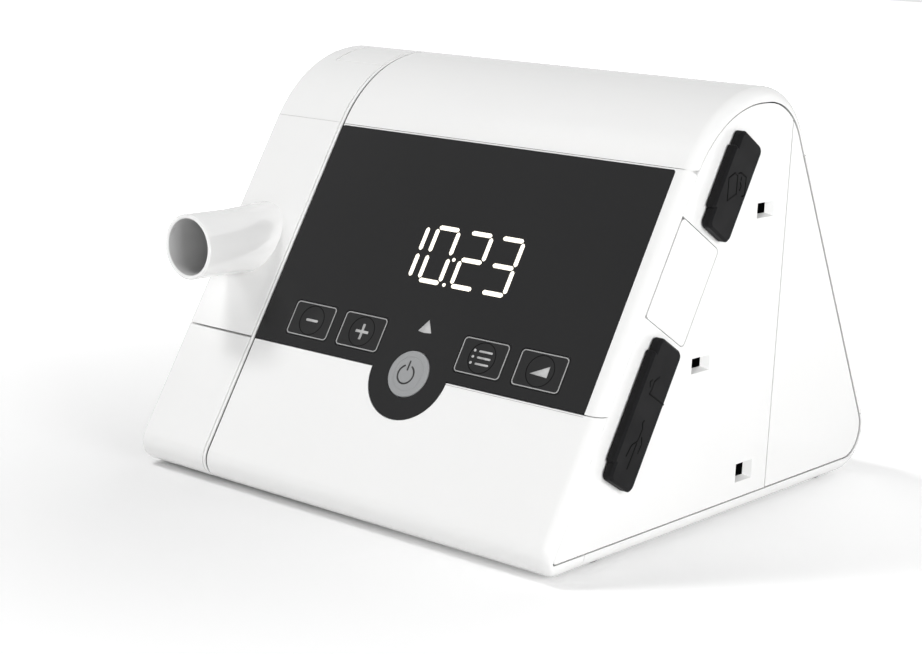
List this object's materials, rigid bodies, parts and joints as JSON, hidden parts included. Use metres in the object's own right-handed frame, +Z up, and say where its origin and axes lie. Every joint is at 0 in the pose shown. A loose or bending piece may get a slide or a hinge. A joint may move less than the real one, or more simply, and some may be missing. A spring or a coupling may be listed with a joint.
{
  "type": "cpap machine",
  "caption": "Tabletop breathing-air machine: wedge housing, sloped glass display with press keys, side outlet module with a hose cone, rubber port flaps and a rear filter door.",
  "frame": {"origin": "middle of the footprint box, on the table under the rubber feet", "axes": "+Y runs back from the display slope, +X to the port covers at the right end, +Z up"},
  "size_m": [0.1736, 0.1792, 0.135],
  "materials": {
    "shell": "satin moulded white",
    "glass_dark": "clear-coated dark panel",
    "key_dark": "dished film",
    "power_grey": "satin grey",
    "rubber": "soft matte",
    "inner": "moulded grey",
    "socket_black": "moulded black",
    "board": "solder mask",
    "metal": "plated",
    "brass": "turned",
    "foam": "open-cell foam",
    "filter": "fine filter pad",
    "screen": "display module"
  },
  "bodies": {
    "housing": {"base_tray": "shell", "front_cover": "shell", "display_frame": "shell", "display_glass": "glass_dark", "top_cover": "shell", "rear_cover": "shell", "side_panel_front": "shell", "side_panel_rear": "shell", "latch_sockets": "socket_black", "left_bulkhead": "inner", "rubber_feet": "rubber", "case_screws": "metal", "display_module": "screen", "display_board": "board", "key_switches": "metal", "main_board": "board", "board_standoffs": "brass", "card_socket": "metal", "data_sockets": "metal", "bay_socket": "socket_black", "power_inlet": "socket_black", "blower_base": "inner", "blower_cover": "inner", "blower_motor": "metal", "blower_mounts": "rubber", "blower_screws": "metal", "outlet_bellows": "rubber", "intake_silencer": "foam", "filter_element": "filter", "pressure_sensor": "socket_black"},
    "impeller_rotor": {"impeller": "inner", "rotor_shaft": "metal"},
    "minus_key": {"key_minus": "key_dark"},
    "plus_key": {"key_plus": "key_dark"},
    "menu_key": {"key_menu": "key_dark"},
    "ramp_key": {"key_ramp": "key_dark"},
    "power_key": {"key_power": "power_grey"},
    "card_flap": {"card_cover": "rubber"},
    "port_flap": {"port_cover": "rubber"},
    "bay_lid": {"bay_cover": "shell"},
    "filter_hatch": {"filter_door": "shell"},
    "outlet_module": {"module_base": "shell", "module_front": "shell", "module_top": "shell", "module_wall": "shell", "outlet_tube": "shell", "outlet_duct": "inner", "port_gasket": "rubber"},
    "module_button": {"release_button": "shell"}
  },
  "joints": [
    {"name": "impeller_spin", "type": "hinge", "parent": "housing", "child": "impeller_rotor", "pos_m": [-0.00475, 0.00867, 0.036], "axis": [0, 0, 1], "continuous": true},
    {"name": "minus_press", "type": "slide", "parent": "housing", "child": "minus_key", "axis": [0, 0.8625, -0.506], "range_m": [0, 0.0005], "stiffness_N_per_m": 900},
    {"name": "plus_press", "type": "slide", "parent": "housing", "child": "plus_key", "axis": [0, 0.8625, -0.506], "range_m": [0, 0.0005], "stiffness_N_per_m": 900},
    {"name": "menu_press", "type": "slide", "parent": "housing", "child": "menu_key", "axis": [0, 0.8625, -0.506], "range_m": [0, 0.0005], "stiffness_N_per_m": 900},
    {"name": "ramp_press", "type": "slide", "parent": "housing", "child": "ramp_key", "axis": [0, 0.8625, -0.506], "range_m": [0, 0.0005], "stiffness_N_per_m": 900},
    {"name": "power_press", "type": "slide", "parent": "housing", "child": "power_key", "axis": [0, 0.8625, -0.506], "range_m": [0, 0.0005], "stiffness_N_per_m": 900},
    {"name": "card_flap_swing", "type": "hinge", "parent": "housing", "child": "card_flap", "pos_m": [0.08375, -0.00523, 0.10337], "axis": [0, 0.506, 0.8625], "range_deg": [0, 90], "stiffness_Nm_per_rad": 0.01},
    {"name": "port_flap_swing", "type": "hinge", "parent": "housing", "child": "port_flap", "pos_m": [0.08375, -0.04537, 0.04049], "axis": [0, 0.506, 0.8625], "range_deg": [0, 90], "stiffness_Nm_per_rad": 0.01},
    {"name": "bay_lid_pull", "type": "slide", "parent": "housing", "child": "bay_lid", "axis": [1, 0, 0], "range_m": [0, 0.012]},
    {"name": "filter_hatch_swing", "type": "hinge", "parent": "housing", "child": "filter_hatch", "pos_m": [-0.01175, 0.06545, 0.05938], "axis": [-1, 0, 0], "range_deg": [0, 95]},
    {"name": "module_pull", "type": "slide", "parent": "housing", "child": "outlet_module", "axis": [-1, 0, 0], "range_m": [0, 0.03]},
    {"name": "button_press", "type": "slide", "parent": "outlet_module", "child": "module_button", "axis": [0, 0, -1], "range_m": [0, 0.0015], "stiffness_N_per_m": 800}
  ]
}
